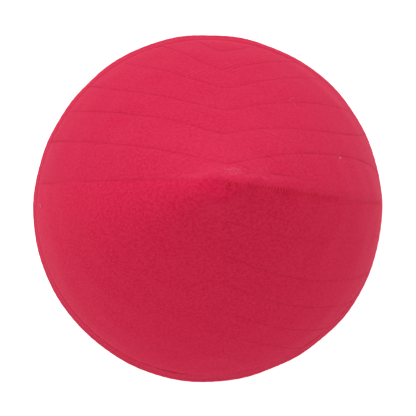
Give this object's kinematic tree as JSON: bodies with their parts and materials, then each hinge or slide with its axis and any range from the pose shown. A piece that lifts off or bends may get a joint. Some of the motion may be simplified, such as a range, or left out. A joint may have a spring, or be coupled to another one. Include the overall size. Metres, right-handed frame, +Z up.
{
  "type": "quilted conical felt cap",
  "caption": "Tall pointed cap of quilted red felt: back and front half panels sewn along two side seams, with a doubled hem that it rests on.",
  "frame": {"origin": "on the surface the cap stands on, at the middle of its round rim", "axes": "+Z up through the tip, +Y towards the back panel, +X along the ridge towards the lapped right seam"},
  "size_m": [0.19, 0.1895, 0.17],
  "materials": {
    "back_felt": "soft brushed felt",
    "front_felt": "soft brushed felt",
    "hem_felt": "soft brushed felt, pressed along the hem"
  },
  "bodies": {
    "root": {"back_panel": "back_felt", "front_panel": "front_felt", "hem_band": "hem_felt"}
  },
  "joints": []
}
